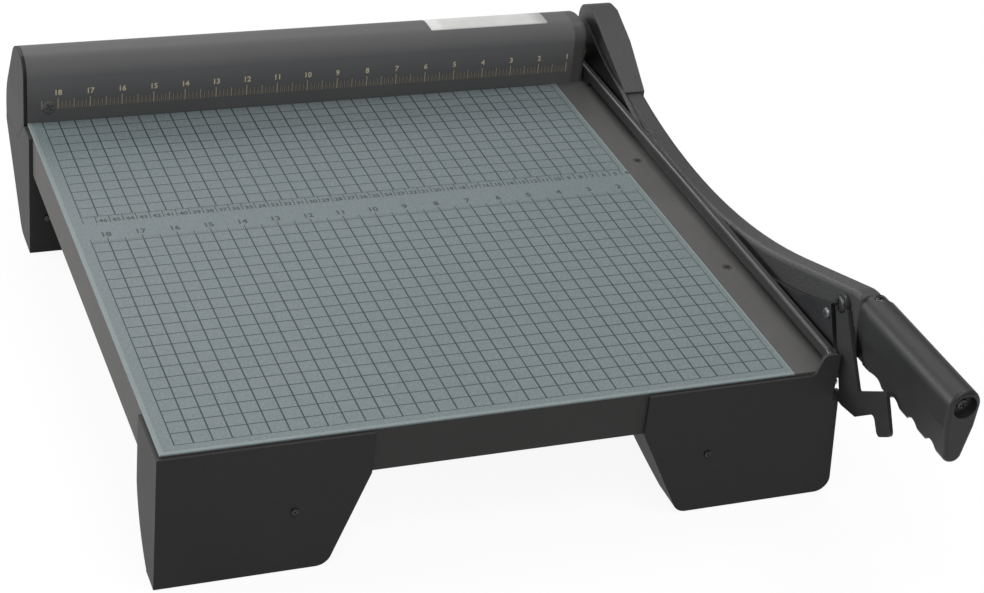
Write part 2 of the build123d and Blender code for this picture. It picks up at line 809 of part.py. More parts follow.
with BuildPart() as blade_arm:
    with BuildSketch(Plane.YZ.offset(arm_x)) as beam_side:
        with BuildLine():
            neck_bottom = (neck_front, table_height + neck_bottom_rise)
            under_straight_back = arm_dip_back - straight_run * under_curve / arm_curve
            Polyline(neck_bottom, (neck_front, knee[1]), knee, arm_edge(arm_straight_back, arm_curve))
            ThreePointArc(
                arm_edge(arm_straight_back, arm_curve),
                arm_edge(arm_dip_back, arm_curve),
                arm_edge(beam_end, arm_curve),
            )
            Line(arm_edge(beam_end, arm_curve), arm_edge(beam_end, under_curve))
            ThreePointArc(
                arm_edge(beam_end, under_curve),
                arm_edge(arm_dip_back, under_curve),
                arm_edge(under_straight_back, under_curve),
            )
            Polyline(
                arm_edge(under_straight_back, under_curve),
                arm_edge(arm_heel_back, under_curve),
                neck_bottom,
            )
        make_face()
        fillet(beam_side.vertices().sort_by_distance(Vector(*knee))[0], knee_round)
    extrude(amount=arm_thickness)
    middle_curve = arm_curve + arm_depth / 2
    fillet(
        [
            edge for edge in blade_arm.edges().filter_by(Axis.X, reverse=True).filter_by(Axis.Z, reverse=True)
            if edge.center().Z > arm_edge(edge.center().Y - sheet_front, middle_curve)[1]
        ],
        arm_round,
    )
    neck_end = blade_arm.faces().sort_by(Axis.Y)[0]
    fillet(neck_end.edges() - neck_end.edges().group_by(Axis.Z)[0], neck_round)
    add(arm_housing.part)
    with Locations((grip_x, neck_front, grip_z)):
        Box(tang_width, tang_length, tang_height, align=(Align.CENTER, Align.MAX, Align.CENTER))
    with Locations(cavity_place):
        Cylinder(cavity_radius, cavity_depth, align=under, mode=Mode.SUBTRACT)
        Cylinder(bush_radius + bush_clearance, housing_thickness, align=under, mode=Mode.SUBTRACT)
    for place in blade_screw_places:
        add(screw_hole(place, blade_screw_length), mode=Mode.SUBTRACT)
    add(screw_hole(front_blade_screw_place, screw_length), mode=Mode.SUBTRACT)
    add(screw_hole(latch_screw_place, latch_screw_length, latch_pin_radius), mode=Mode.SUBTRACT)
    add(screw_hole(grip_top_place, screw_length), mode=Mode.SUBTRACT)
    add(screw_hole(grip_end_place, grip_end_screw_length), mode=Mode.SUBTRACT)

# Cutting blade: a curved strip with a tall rounded heel over the pivot and a leaning front edge
with BuildPart() as cutting_blade:
    with BuildSketch(Plane.YZ.offset(blade_x)) as blade_side:
        with BuildLine():
            rear_top = pivot_point(blade_rear_top)
            blade_heel = pivot_point((-blade_eye, blade_heel_height))
            edge_end = pivot_point(edge_rear)
            ThreePointArc(side_point(blade_front_top), side_point(blade_dip), rear_top)
            ThreePointArc(rear_top, pivot_point(blade_ridge), blade_heel)
            Line(blade_heel, pivot_point((-blade_eye, 0)))
            JernArc(pivot_point((-blade_eye, 0)), (0, -1), blade_eye, -90)
            Line(pivot_point((0, -blade_eye)), edge_end)
            ThreePointArc(edge_end, side_point(edge_dip), side_point(blade_front_foot))
            Line(side_point(blade_front_foot), side_point(blade_front_top))
        make_face()
        fillet(blade_side.vertices().sort_by_distance(Vector(*blade_heel))[0], blade_heel_round)
        with Locations((pivot_y, pivot_z)):
            Circle(pivot_radius + blade_bore_clearance, mode=Mode.SUBTRACT)
    extrude(amount=blade_thickness)
    for place in blade_screw_places:
        add(screw_hole(place, blade_screw_length), mode=Mode.SUBTRACT)
    add(screw_hole(front_blade_screw_place, screw_length), mode=Mode.SUBTRACT)

with BuildPart() as blade_screws:
    for place in blade_screw_places:
        add(screw_solid(place, blade_screw_length))

with BuildPart() as front_blade_screw:
    add(screw_solid(front_blade_screw_place, screw_length))

def grip_section(section_y, inset):
    """Teardrop of three circles joined by tangent lines, smaller all round by the inset."""
    belly_drop = grip_centre_rise - grip_belly_rise
    tip_drop = grip_belly_rise - grip_tip_rise
    belly_lean = degrees(asin((grip_width / 2 - grip_belly_radius) / belly_drop))
    tip_lean = degrees(asin((grip_belly_radius - grip_tip_radius) / tip_drop))
    with BuildSketch(Plane((grip_x, section_y, 0), (1, 0, 0), facing_front)) as section:
        with BuildLine():
            crown_radius = grip_width / 2 - inset
            crown = JernArc((0, grip_z + crown_radius), (1, 0), crown_radius, -90 - belly_lean)
            upper = PolarLine(crown @ 1, belly_drop * cos(radians(belly_lean)), direction=crown % 1)
            belly = JernArc(upper @ 1, upper % 1, grip_belly_radius - inset, belly_lean - tip_lean)
            lower = PolarLine(belly @ 1, tip_drop * cos(radians(tip_lean)), direction=belly % 1)
            JernArc(lower @ 1, lower % 1, grip_tip_radius - inset, tip_lean - 90)
            mirror(about=Plane.YZ)
        make_face()
    return section.sketch


# Grip: a full teardrop section behind a narrower collar, with finger grooves along its lower edge
collar_front = neck_front - grip_collar_length
with BuildPart() as handle_grip:
    extrude(grip_section(collar_front, 0), amount=collar_front - grip_front)
    fillet(handle_grip.faces().sort_by(Axis.Y)[0].edges(), grip_end_round)
    extrude(grip_section(neck_front, grip_collar_step), amount=grip_collar_length)
    with BuildSketch(Plane.YZ.offset(grip_x - grip_width)):
        with BuildLine():
            collar_end = side_point((grip_collar_back, grip_collar_rise))
            groove_room = handle_reach - groove_end_plain + groove_first_back
            turns = [collar_end]
            for n in range(round(groove_room / groove_pitch)):
                groove_back = groove_first_back - n * groove_pitch
                turns.append(side_point((groove_back, groove_rise)))
                turns.append(side_point((groove_back - groove_pitch / 2, lobe_rise)))
            for start, end in zip(turns, turns[1:]):
                middle = ((start[0] + end[0]) / 2, (start[1] + end[1]) / 2)
                first_half = TangentArc(start, middle, tangent=(-1, 0))
                TangentArc(middle, end, tangent=first_half % 1)
            last_lobe = turns[-1]
            Polyline(
                last_lobe,
                (grip_front - grip_width, last_lobe[1]),
                (grip_front - grip_width, table_height),
                (neck_front + grip_width, table_height),
                (neck_front + grip_width, collar_end[1]),
                collar_end,
            )
        make_face()
    extrude(amount=2 * grip_width, mode=Mode.SUBTRACT)
    with Locations((grip_x, neck_front, grip_z)):
        Box(tang_width + 2 * tang_clearance, tang_length + tang_clearance, tang_height + 2 * tang_clearance,
            align=(Align.CENTER, Align.MAX, Align.CENTER), mode=Mode.SUBTRACT)
    with Locations(grip_end_place):
        Cylinder(grip_recess_radius, grip_recess_depth, align=above, mode=Mode.SUBTRACT)
    with Locations(grip_top_place):
        Cylinder(2 * screw_radius + tang_clearance, grip_screw_seat, align=above, mode=Mode.SUBTRACT)
    add(screw_hole(grip_top_place, screw_length), mode=Mode.SUBTRACT)
    add(screw_hole(grip_end_place, grip_end_screw_length), mode=Mode.SUBTRACT)

with BuildPart() as grip_top_screw:
    add(screw_solid(grip_top_place, screw_length))

with BuildPart() as grip_end_screw:
    add(screw_solid(grip_end_place, grip_end_screw_length))

# Latch: a hooked plate ahead of the blade, turning on a shoulder screw in the arm's neck
latch_x = blade_x + latch_side_gap
with BuildPart() as latch_plate:
    with BuildSketch(Plane.YZ.offset(latch_x)) as latch_side:
        with BuildLine():
            Polyline(*[side_point(spot) for spot in latch_outline], close=True)
        make_face()
        fillet(latch_side.vertices().sort_by(Axis.X)[4:], latch_corner)
        fillet(latch_side.vertices().sort_by(Axis.X)[:4], latch_tab_corner)
        with Locations(side_point(latch_pivot)):
            Circle(latch_eye)
            Circle(latch_pin_radius + latch_pin_clearance, mode=Mode.SUBTRACT)
    extrude(amount=latch_thickness)

with BuildPart() as latch_screw:
    add(screw_solid(latch_screw_place, latch_screw_length, latch_pin_radius))

with BuildPart() as latch_washer:
    with BuildSketch(Plane((arm_x, *side_point(latch_pivot)), z_dir=facing_left)):
        Circle(latch_washer_radius)
        Circle(latch_pin_radius + screw_clearance, mode=Mode.SUBTRACT)
    extrude(amount=arm_x - latch_x - latch_thickness - latch_side_gap)

pieces = {
    "baseboard": baseboard.part,
    "table_sheet": table_sheet.part,
    "ledger_strip": ledger_strip.part,
    "ledger_screws": ledger_screws.part,
    "bed_knife": bed_knife.part,
    "knife_screws": knife_screws.part,
    "strike_pin": strike_pin.part,
    "finger_guard": finger_guard.part,
    "guard_screws": guard_screws.part,
    "rule_bar": rule_bar.part,
    "bar_screws": bar_screws.part,
    "left_end_cap": left_end_cap.part,
    "cap_screw": cap_screw.part,
    "pivot_bracket": pivot_bracket.part,
    "bracket_screws": bracket_screws.part,
    "front_left_leg": front_left_leg,
    "front_right_leg": front_right_leg,
    "rear_left_leg": rear_left_leg.part,
    "rear_right_leg": rear_right_leg.part,
    "leg_cleats": leg_cleats.part,
    "leg_screws": leg_screws.part,
    "rubber_feet": rubber_feet.part,
    "pivot_bolt": pivot_bolt.part,
    "pivot_nut": pivot_nut.part,
    "pivot_washer": pivot_washer.part,
    "pivot_bush": pivot_bush.part,
    "pivot_cap": pivot_cap.part,
    "blade_arm": blade_arm.part,
    "cutting_blade": cutting_blade.part,
    "blade_screws": blade_screws.part,
    "front_blade_screw": front_blade_screw.part,
    "handle_grip": handle_grip.part,
    "grip_top_screw": grip_top_screw.part,
    "grip_end_screw": grip_end_screw.part,
    "latch_plate": latch_plate.part,
    "latch_screw": latch_screw.part,
    "latch_washer": latch_washer.part,
}
for name, piece in pieces.items():
    piece.label = name
    export_step(piece, f"parts/{name}.step")
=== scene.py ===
import math

import bmesh
import bpy
from mathutils import Matrix, Vector


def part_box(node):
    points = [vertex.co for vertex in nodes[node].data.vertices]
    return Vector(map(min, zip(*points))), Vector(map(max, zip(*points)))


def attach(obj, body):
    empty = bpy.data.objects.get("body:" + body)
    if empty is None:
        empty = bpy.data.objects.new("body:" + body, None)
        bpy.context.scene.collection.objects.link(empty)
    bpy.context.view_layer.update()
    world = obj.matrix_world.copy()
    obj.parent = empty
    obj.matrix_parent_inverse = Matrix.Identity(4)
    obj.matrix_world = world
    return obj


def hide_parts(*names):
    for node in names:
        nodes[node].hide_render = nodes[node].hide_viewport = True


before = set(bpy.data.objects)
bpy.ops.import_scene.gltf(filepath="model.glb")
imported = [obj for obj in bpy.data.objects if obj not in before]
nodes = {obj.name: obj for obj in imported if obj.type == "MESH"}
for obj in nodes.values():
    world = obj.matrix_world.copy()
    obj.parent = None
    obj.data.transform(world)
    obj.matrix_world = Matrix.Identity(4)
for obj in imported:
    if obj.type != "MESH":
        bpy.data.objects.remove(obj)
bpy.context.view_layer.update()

# Front and rear legs: hollow mouldings in black plastic that carry the board. The mould leaves a fine
# even grain on their walls and soft edges all round.
mm = 0.001
weld = 0.002 * mm
flat_angle = math.radians(0.3)
hard_angle = math.radians(35)
smooth_angle = math.radians(40)
leg_round = 1.2 * mm


class Tone:
    """A value that changes over a surface: it wraps a node's socket, and sums on it add Math nodes."""

    def __init__(self, socket):
        self.socket = socket

    def node(self, kind, settings, sockets, output=0):
        """Adds a node to the same material: its settings first, then the values or links of its sockets."""
        tree = self.socket.id_data
        made = tree.nodes.new(kind)
        for name, value in settings.items():
            setattr(made, name, value)
        for name, value in sockets.items():
            if isinstance(value, Tone):
                tree.links.new(value.socket, made.inputs[name])
            else:
                made.inputs[name].default_value = value
        return Tone(made.outputs[output])

    def sum(self, operation, *values):
        return self.node("ShaderNodeMath", {"operation": operation}, dict(enumerate(values)))

    def __add__(self, other):
        return self.sum("ADD", self, other)

    def __radd__(self, other):
        return self.sum("ADD", other, self)

    def __sub__(self, other):
        return self.sum("SUBTRACT", self, other)

    def __rsub__(self, other):
        return self.sum("SUBTRACT", other, self)

    def __mul__(self, other):
        return self.sum("MULTIPLY", self, other)

    def __rmul__(self, other):
        return self.sum("MULTIPLY", other, self)

    def __mod__(self, other):
        return self.sum("FLOORED_MODULO", self, other)

    def __lt__(self, other):
        return self.sum("LESS_THAN", self, other)

    def __gt__(self, other):
        return self.sum("GREATER_THAN", self, other)

    def __or__(self, other):
        return self.sum("MAXIMUM", self, other)

    def __abs__(self):
        return self.sum("ABSOLUTE", self)

    def blend(self, first, second):
        """The first colour where this value is 0, and the second where it is 1."""
        return self.node("ShaderNodeMix", {"data_type": "RGBA"}, {0: self, 6: first, 7: second}, output=2)

    def reading(self, axis):
        """How far this place lies along an axis."""
        return self.node("ShaderNodeSeparateXYZ", {}, {"Vector": self}, output=axis)

    def stretched(self, scale):
        """This place, scaled by a different amount along each axis."""
        return self.node("ShaderNodeMapping", {}, {"Vector": self, "Scale": scale})

    def noise(self, scale, detail):
        """Cloudy noise at this place, with this many clouds to the metre."""
        return self.node("ShaderNodeTexNoise", {}, {"Vector": self, "Scale": scale, "Detail": detail})

    def bump(self, depth, strength):
        """A surface normal that follows this height."""
        return self.node("ShaderNodeBump", {}, {"Height": self, "Distance": depth, "Strength": strength})


def new_finish(name, constants):
    """A material with its constant sockets set, and the place on the piece that its nodes start from."""
    material = bpy.data.materials.new(name)
    material.use_nodes = True
    shader = material.node_tree.nodes["Principled BSDF"]
    for socket, value in constants.items():
        shader.inputs[socket].default_value = value
    coordinates = material.node_tree.nodes.new("ShaderNodeTexCoord")
    return material, Tone(coordinates.outputs["Object"])


def feed(material, varying):
    """Links what varies over the surface to the material's shader."""
    shader = material.node_tree.nodes["Principled BSDF"]
    for socket, tone in varying.items():
        material.node_tree.links.new(tone.socket, shader.inputs[socket])


def grained(name, dark, light, roughness, grain_scale, grain_depth, constants):
    """A paint or plastic with a fine grain, and broad faint patches in its colour and gloss."""
    material, place = new_finish(name, constants)
    grain = place.noise(grain_scale, 2.0)
    patches = place.noise(22.0, 5.0)
    specks = place.noise(grain_scale * 0.35, 3.0)
    feed(material, {
        "Base Color": (0.65 * patches + 0.35 * specks).blend((*dark, 1.0), (*light, 1.0)),
        "Roughness": roughness - 0.12 + 0.16 * patches + 0.08 * grain,
        "Normal": grain.bump(grain_depth, 0.5),
    })
    return material


def placed(name, mesh, body, material):
    """A finished mesh as a piece that rides on a body."""
    piece = bpy.data.objects.new(name, mesh)
    bpy.context.scene.collection.objects.link(piece)
    mesh.materials.clear()
    mesh.materials.append(material)
    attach(piece, body)
    return piece


def softened(node, round_over, body, material):
    """A copy of a CAD piece with its triangles merged and its hard edges rounded over, shown in its place."""
    shape = bmesh.new()
    shape.from_mesh(nodes[node].data)
    bmesh.ops.remove_doubles(shape, verts=shape.verts, dist=weld)
    bmesh.ops.dissolve_limit(shape, angle_limit=flat_angle, verts=shape.verts, edges=shape.edges)
    hard = [edge for edge in shape.edges if edge.is_manifold and edge.calc_face_angle() > hard_angle]
    bmesh.ops.bevel(shape, geom=hard, offset=round_over, offset_type="OFFSET", affect="EDGES", segments=2,
                    profile=0.5, material=-1, clamp_overlap=True)
    for face in shape.faces:
        face.smooth = True
    mesh = bpy.data.meshes.new(node + "_finished")
    shape.to_mesh(mesh)
    shape.free()
    mesh.set_sharp_from_angle(angle=smooth_angle)
    piece = placed(node + "_finished", mesh, body, material)
    piece.modifiers.new("flat_faces", "WEIGHTED_NORMAL").keep_sharp = True
    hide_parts(node)
    return piece


leg_plastic = grained("leg_plastic", (0.035, 0.035, 0.0355), (0.050, 0.050, 0.0505), 0.6, 900.0, 0.12 * mm,
                      {"Specular IOR Level": 0.1})
for leg in ("front_left_leg", "front_right_leg", "rear_left_leg", "rear_right_leg"):
    softened(leg, leg_round, "base", leg_plastic)

# Pads and cleats: thin rubber pads stuck under the feet, and painted blocks under the board that the
# leg screws bite into.
def dress(node, material):
    """Gives a CAD piece that stays as it is its finish."""
    nodes[node].data.materials.clear()
    nodes[node].data.materials.append(material)


foot_rubber = grained("foot_rubber", (0.012, 0.012, 0.012), (0.022, 0.022, 0.022), 0.85, 1500.0, 0.1 * mm,
                      {"Specular IOR Level": 0.2})
dress("rubber_feet", foot_rubber)

board_paint, place = new_finish("board_paint", {"Specular IOR Level": 0.2})
fibre = place.stretched((260.0, 260.0, 1100.0)).noise(1.0, 4.0)
patches = place.noise(14.0, 4.0)
board_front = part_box("baseboard")[0].y
# painted shade: the board's front edge gets a darker colour, standing in for the shade that falls on it
front_edge_painted_shade = place.reading("Y") < board_front + 1.0 * mm
edge_paint = (0.5 * fibre + 0.5 * patches).blend((0.050, 0.049, 0.048, 1.0), (0.094, 0.092, 0.089, 1.0))
feed(board_paint, {
    "Base Color": (0.45 * front_edge_painted_shade).blend(edge_paint, (0.020, 0.021, 0.021, 1.0)),
    "Roughness": 0.55 + 0.2 * fibre,
    "Normal": fibre.bump(0.15 * mm, 0.4),
})
dress("leg_cleats", board_paint)

# Baseboard: the thick fibreboard core that everything is screwed to. It is sawn square and painted dark
# on its edges and underside; its front edge is darker still with painted shade.
softened("baseboard", 0.7 * mm, "base", board_paint)

# Leg screws: blackened pan-head screws with a cross recess. They go through the front walls of the legs
# into the cleats.
screw_head_height = 1.8 * mm
screw_smooth_angle = math.radians(38)
recess_turn = 0.5


def loose_parts(node):
    """The lowest and highest corner of each separate solid in a CAD piece."""
    shape = bmesh.new()
    shape.from_mesh(nodes[node].data)
    bmesh.ops.remove_doubles(shape, verts=shape.verts, dist=weld)
    waiting = set(shape.verts)
    boxes = []
    while waiting:
        part = {waiting.pop()}
        edge_of_part = set(part)
        while edge_of_part:
            edge_of_part = {edge.other_vert(vert) for vert in edge_of_part for edge in vert.link_edges} - part
            part |= edge_of_part
        waiting -= part
        boxes.append([
            Vector(limit(vert.co[axis] for vert in part) for axis in range(3)) for limit in (min, max)
        ])
    shape.free()
    return sorted(boxes, key=lambda box: tuple(box[0]))


def screw_shape(head_radius, head_height, shank_radius, length, sunk):
    """A screw with its head's top at the origin and its shank down -Z: a turned body with a cross recess."""
    shape = bmesh.new()
    if sunk:
        head = [(shank_radius, -head_height), (head_radius, -0.1 * mm), (head_radius, 0.0)]
    else:
        head = [(shank_radius, -head_height), (head_radius, -head_height), (head_radius, -0.55 * head_height),
                (0.93 * head_radius, -0.25 * head_height), (0.72 * head_radius, -0.07 * head_height)]
    shank = [(0.0, -length), (0.8 * shank_radius, -length), (shank_radius, -0.9 * length)]
    profile = [*shank, *head, (0.0, 0.0)]
    points = [shape.verts.new((radius, 0.0, height)) for radius, height in profile]
    lines = [shape.edges.new(pair) for pair in zip(points, points[1:])]
    bmesh.ops.spin(shape, geom=points + lines, cent=(0, 0, 0), axis=(0, 0, 1), angle=math.tau, steps=36,
                   use_merge=True)
    bmesh.ops.remove_doubles(shape, verts=shape.verts, dist=weld)
    bmesh.ops.recalc_face_normals(shape, faces=shape.faces)
    body = bpy.data.meshes.new("screw_body")
    shape.to_mesh(body)
    shape.free()
    recess = bmesh.new()
    for turn in (0.0, math.pi / 2):
        arm = Matrix.Rotation(turn, 4, "Z") @ Matrix.Diagonal(
            (1.25 * head_radius, 0.27 * head_radius, 1.3 * head_height, 1.0)
        )
        bmesh.ops.create_cube(recess, size=1.0, matrix=arm)
    cross = bpy.data.meshes.new("screw_recess")
    recess.to_mesh(cross)
    recess.free()
    blank = bpy.data.objects.new("screw_blank", body)
    cutter = bpy.data.objects.new("screw_cutter", cross)
    for helper in (blank, cutter):
        bpy.context.scene.collection.objects.link(helper)
    cut = blank.modifiers.new("recess", "BOOLEAN")
    cut.object = cutter
    cut.solver = "EXACT"
    cut.use_self = True
    graph = bpy.context.evaluated_depsgraph_get()
    finished = bpy.data.meshes.new_from_object(blank.evaluated_get(graph))
    bpy.data.objects.remove(blank)
    bpy.data.objects.remove(cutter)
    return finished


def cross_screws(node, facing, body, material, sunk=False):
    """Cross-headed screws in the place of a CAD piece's plain ones, with their heads towards facing."""
    outward = Vector(facing)
    axis = max(range(3), key=lambda n: abs(facing[n]))
    shape = bmesh.new()
    for low, high in loose_parts(node):
        size = high - low
        head_radius = size[(axis + 1) % 3] / 2
        middle = (low + high) / 2
        top = middle + outward * size[axis] / 2
        screw = screw_shape(head_radius, screw_head_height, head_radius / 2, size[axis], sunk)
        spin = Matrix.Rotation(recess_turn * (1 + len(shape.verts) % 3), 4, "Z")
        screw.transform(Matrix.Translation(top) @ outward.to_track_quat("Z", "Y").to_matrix().to_4x4() @ spin)
        shape.from_mesh(screw)
        bpy.data.meshes.remove(screw)
    mesh = bpy.data.meshes.new(node + "_finished")
    shape.to_mesh(mesh)
    shape.free()
    mesh.shade_smooth()
    mesh.set_sharp_from_angle(angle=screw_smooth_angle)
    piece = placed(node + "_finished", mesh, body, material)
    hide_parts(node)
    return piece


screw_black, place = new_finish("screw_black", {"Metallic": 1.0})
smear = place.noise(160.0, 4.0)
feed(screw_black, {
    "Base Color": smear.blend((0.03, 0.03, 0.031, 1.0), (0.10, 0.10, 0.102, 1.0)),
    "Roughness": 0.3 + 0.25 * smear,
    "Normal": place.noise(1800.0, 2.0).bump(0.05 * mm, 0.3),
})
cross_screws("leg_screws", (0, -1, 0), "base", screw_black)

# Table sheet: a matte grey-green laminate glued on the board. A half-inch grid is printed on it in two
# blocks, with a band between them that carries an inch rule and a centimetre rule.
zero_x = 226.65 * mm
inch = 25.4 * mm
centimetre = 10 * mm
grid_pitch = 12.7 * mm
grid_left = -243.25 * mm
grid_right = 188.6 * mm
grid_front = -194.2 * mm
front_block = (-194.4 * mm, 60.0 * mm)
rear_block = (97.7 * mm, 251.0 * mm)
column_width, row_width = 1.1 * mm, 0.95 * mm
inch_foot = 60.0 * mm
inch_tip, half_tip, fine_tip = 66.0 * mm, 64.5 * mm, 62.6 * mm
centimetre_foot, millimetre_foot, metric_tip = 88.4 * mm, 95.6 * mm, 97.9 * mm
inch_number_y, inch_number_size = 71.0 * mm, 8.2 * mm
centimetre_number_y, centimetre_number_size = 91.0 * mm, 6.4 * mm
print_depth = 0.03 * mm
rim_width, right_rim_width = 3.0 * mm, 1.6 * mm


def lines(position, first, pitch, width):
    """1 on lines across a position, the given pitch and width apart and across."""
    return abs((position - first + pitch / 2) % pitch - pitch / 2) < width / 2


def between(position, low, high):
    """1 where a position lies between two values."""
    return (position > low) * (position < high)


laminate, place = new_finish("printed_laminate", {"Specular IOR Level": 0.15})
across = place.reading("X")
along = place.reading("Y")
height = place.reading("Z")
sheet_low, sheet_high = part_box("table_sheet")
in_columns = between(across, grid_left - 0.3 * mm, grid_right)
in_rows = between(along, *front_block) | between(along, *rear_block)
columns = lines(across, grid_left, grid_pitch, column_width)
rows = lines(along, grid_front, grid_pitch, row_width)
inch_ticks = between(along, inch_foot, inch_tip) * lines(across, zero_x, inch, 0.8 * mm)
fine_ticks = between(along, inch_foot, fine_tip) * lines(across, zero_x, inch / 16, 0.35 * mm)
half_ticks = between(along, inch_foot, half_tip) * lines(across, zero_x, inch / 2, 0.7 * mm)
centimetre_ticks = between(along, centimetre_foot, metric_tip) * lines(across, zero_x, centimetre, 0.75 * mm)
millimetre_ticks = between(along, millimetre_foot, metric_tip) * lines(across, zero_x, 2 * mm, 0.4 * mm)
on_top = height > sheet_high.z - 0.1 * mm
print_mask = on_top * in_columns * (in_rows * (columns | (0.9 * rows)) | inch_ticks | half_ticks
                                    | (0.8 * fine_ticks) | centimetre_ticks | (0.6 * millimetre_ticks))
faded = 0.8 + 0.3 * place.noise(55.0, 3.0)
speckle = place.noise(650.0, 3.0)
broad = place.noise(7.0, 3.0)
mottle = 1.9 * speckle + 0.35 * broad - 0.625
ground = mottle.blend((0.109, 0.137, 0.142, 1.0), (0.176, 0.204, 0.209, 1.0))
inside = between(across, sheet_low.x + rim_width, sheet_high.x - right_rim_width)
rim = 1.0 - inside * (along > sheet_low.y + rim_width)
pale = (0.22 * rim).blend(ground, (0.33, 0.38, 0.38, 1.0))
feed(laminate, {
    "Base Color": (print_mask * faded).blend(pale, (0.026, 0.042, 0.042, 1.0)),
    "Roughness": 0.46 + 0.12 * speckle,
    "Normal": speckle.bump(0.05 * mm, 0.35),
})
softened("table_sheet", 0.5 * mm, "base", laminate)


def numerals(name, marks, size, facing, body, material):
    """Printed numbers as one thin mesh. Each mark is a number and the middle of its place."""
    shape = bmesh.new()
    for number, middle in marks:
        letters = bpy.data.curves.new("number", "FONT")
        letters.body = str(number)
        letters.size = size
        letters.align_x = "CENTER"
        letters.align_y = "CENTER"
        letters.extrude = print_depth
        letters.offset = 0.025 * size
        letters.resolution_u = 3
        lettering = bpy.data.objects.new("number", letters)
        bpy.context.scene.collection.objects.link(lettering)
        printed = bpy.data.meshes.new_from_object(lettering)
        printed.transform(Matrix.Translation(middle) @ facing)
        shape.from_mesh(printed)
        bpy.data.objects.remove(lettering)
        bpy.data.curves.remove(letters)
        bpy.data.meshes.remove(printed)
    bmesh.ops.remove_doubles(shape, verts=shape.verts, dist=weld / 2)
    mesh = bpy.data.meshes.new(name)
    shape.to_mesh(mesh)
    shape.free()
    return placed(name, mesh, body, material)


sheet_ink, place = new_finish("sheet_ink", {"Specular IOR Level": 0.2})
faded = place.noise(300.0, 3.0)
feed(sheet_ink, {
    "Base Color": faded.blend((0.022, 0.030, 0.030, 1.0), (0.065, 0.085, 0.085, 1.0)),
    "Roughness": 0.5 + 0.15 * faded,
})
print_z = sheet_high.z + print_depth
flat = Matrix.Identity(4)
inch_marks = [(n, (zero_x - n * inch, inch_number_y, print_z)) for n in range(2, 19)]
numerals("sheet_inch_numbers", inch_marks, inch_number_size, flat, "base", sheet_ink)
centimetre_marks = [(n, (zero_x - (n - 0.5) * centimetre, centimetre_number_y, print_z)) for n in range(4, 47)]
numerals("sheet_centimetre_numbers", centimetre_marks, centimetre_number_size, flat, "base",
         sheet_ink)

# Ledger strip: a flat steel strip painted satin black, let into the board's right edge level with the
# sheet and held by two countersunk screws, painted dull black.
ledger_paint = grained("ledger_paint", (0.052, 0.051, 0.050), (0.088, 0.086, 0.084), 0.45, 420.0, 0.05 * mm,
                       {"Specular IOR Level": 0.28})
softened("ledger_strip", 0.5 * mm, "base", ledger_paint)
ledger_screw_paint = grained("ledger_screw_paint", (0.030, 0.029, 0.028), (0.052, 0.050, 0.048), 0.5, 800.0,
                             0.05 * mm, {"Specular IOR Level": 0.25})
cross_screws("ledger_screws", (0, 0, 1), "base", ledger_screw_paint, sunk=True)

# Bed knife: a ground steel strip on the board's right side, the fixed half of the shear, with its
# countersunk screws and the pin that the latch hooks under.
def ground_steel(name, dark, light, roughness, scratch_scale):
    """Bare steel with fine grinding lines along its length."""
    material, place = new_finish(name, {"Metallic": 1.0})
    scratches = place.stretched(scratch_scale).noise(1.0, 4.0)
    stain = place.noise(30.0, 4.0)
    feed(material, {
        "Base Color": (0.5 * scratches + 0.5 * stain).blend((*dark, 1.0), (*light, 1.0)),
        "Roughness": roughness + 0.15 * scratches + 0.1 * stain,
        "Normal": scratches.bump(0.03 * mm, 0.35),
    })
    return material


knife_steel = ground_steel("knife_steel", (0.34, 0.34, 0.35), (0.56, 0.56, 0.57), 0.25, (600.0, 14.0, 900.0))
softened("bed_knife", 0.2 * mm, "base", knife_steel)
cross_screws("knife_screws", (1, 0, 0), "base", screw_black, sunk=True)
softened("strike_pin", 0.4 * mm, "base", knife_steel)

# Finger guard: a black rail with rounded top edges on two feet over the bed knife. Its screws come up
# from under the ledger strip.
guard_black = grained("guard_black_paint", (0.019, 0.019, 0.019), (0.032, 0.031, 0.031), 0.34, 420.0,
                      0.05 * mm, {"Specular IOR Level": 0.55})
softened("finger_guard", 0.4 * mm, "base", guard_black)
dress("guard_screws", screw_black)

# Rule bar: a hollow dark grey bar with a rounded top along the rear of the board. An inch rule is
# printed in tan on its front face, with a painted sheen in a paler band above the rule. Its screws
# come up through the board.
bar_paint, place = new_finish("bar_paint", {"Specular IOR Level": 0.2})
across = place.reading("X")
along = place.reading("Y")
height = place.reading("Z")
bar_low, bar_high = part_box("rule_bar")
tick_foot = 117.4 * mm
rule_start, rule_end = 0.9 * inch, 18.52 * inch
rule_number_z, rule_number_size = 131.2 * mm, 6.4 * mm
painted_sheen_middle, painted_sheen_reach = 142.0 * mm, 22.0 * mm


def bar_ticks(length, pitch, width):
    """1 on the bar's upright ticks of one length."""
    return between(height, tick_foot, tick_foot + length) * lines(across, zero_x, pitch, width)


on_front = (along < bar_low.y + 0.1 * mm) * between(across, zero_x - rule_end, zero_x - rule_start)
ticks = (
    bar_ticks(9.0 * mm, inch, 0.8 * mm)
    | 0.8 * bar_ticks(7.8 * mm, inch / 2, 0.7 * mm)
    | 0.6 * bar_ticks(6.2 * mm, inch / 8, 0.5 * mm)
    | 0.4 * bar_ticks(3.6 * mm, inch / 16, 0.35 * mm)
)
patches = place.noise(16.0, 5.0)
grain = place.noise(800.0, 2.0)
paint = patches.blend((0.078, 0.078, 0.080, 1.0), (0.102, 0.102, 0.104, 1.0))
# painted sheen: a paler band across the bar's front above the rule, painted in for the light that a rounder top
# edge would catch
painted_sheen = (1.0 - abs(height - painted_sheen_middle) * (1.0 / painted_sheen_reach)) | 0.0
ground = (0.4 * painted_sheen).blend(paint, (0.20, 0.20, 0.205, 1.0))
feed(bar_paint, {
    "Base Color": (on_front * ticks * (0.6 + 0.5 * patches)).blend(ground, (0.40, 0.33, 0.21, 1.0)),
    "Roughness": 0.62 + 0.2 * patches,
    "Normal": grain.bump(0.06 * mm, 0.4),
})
softened("rule_bar", 0.4 * mm, "base", bar_paint)
dress("bar_screws", screw_black)

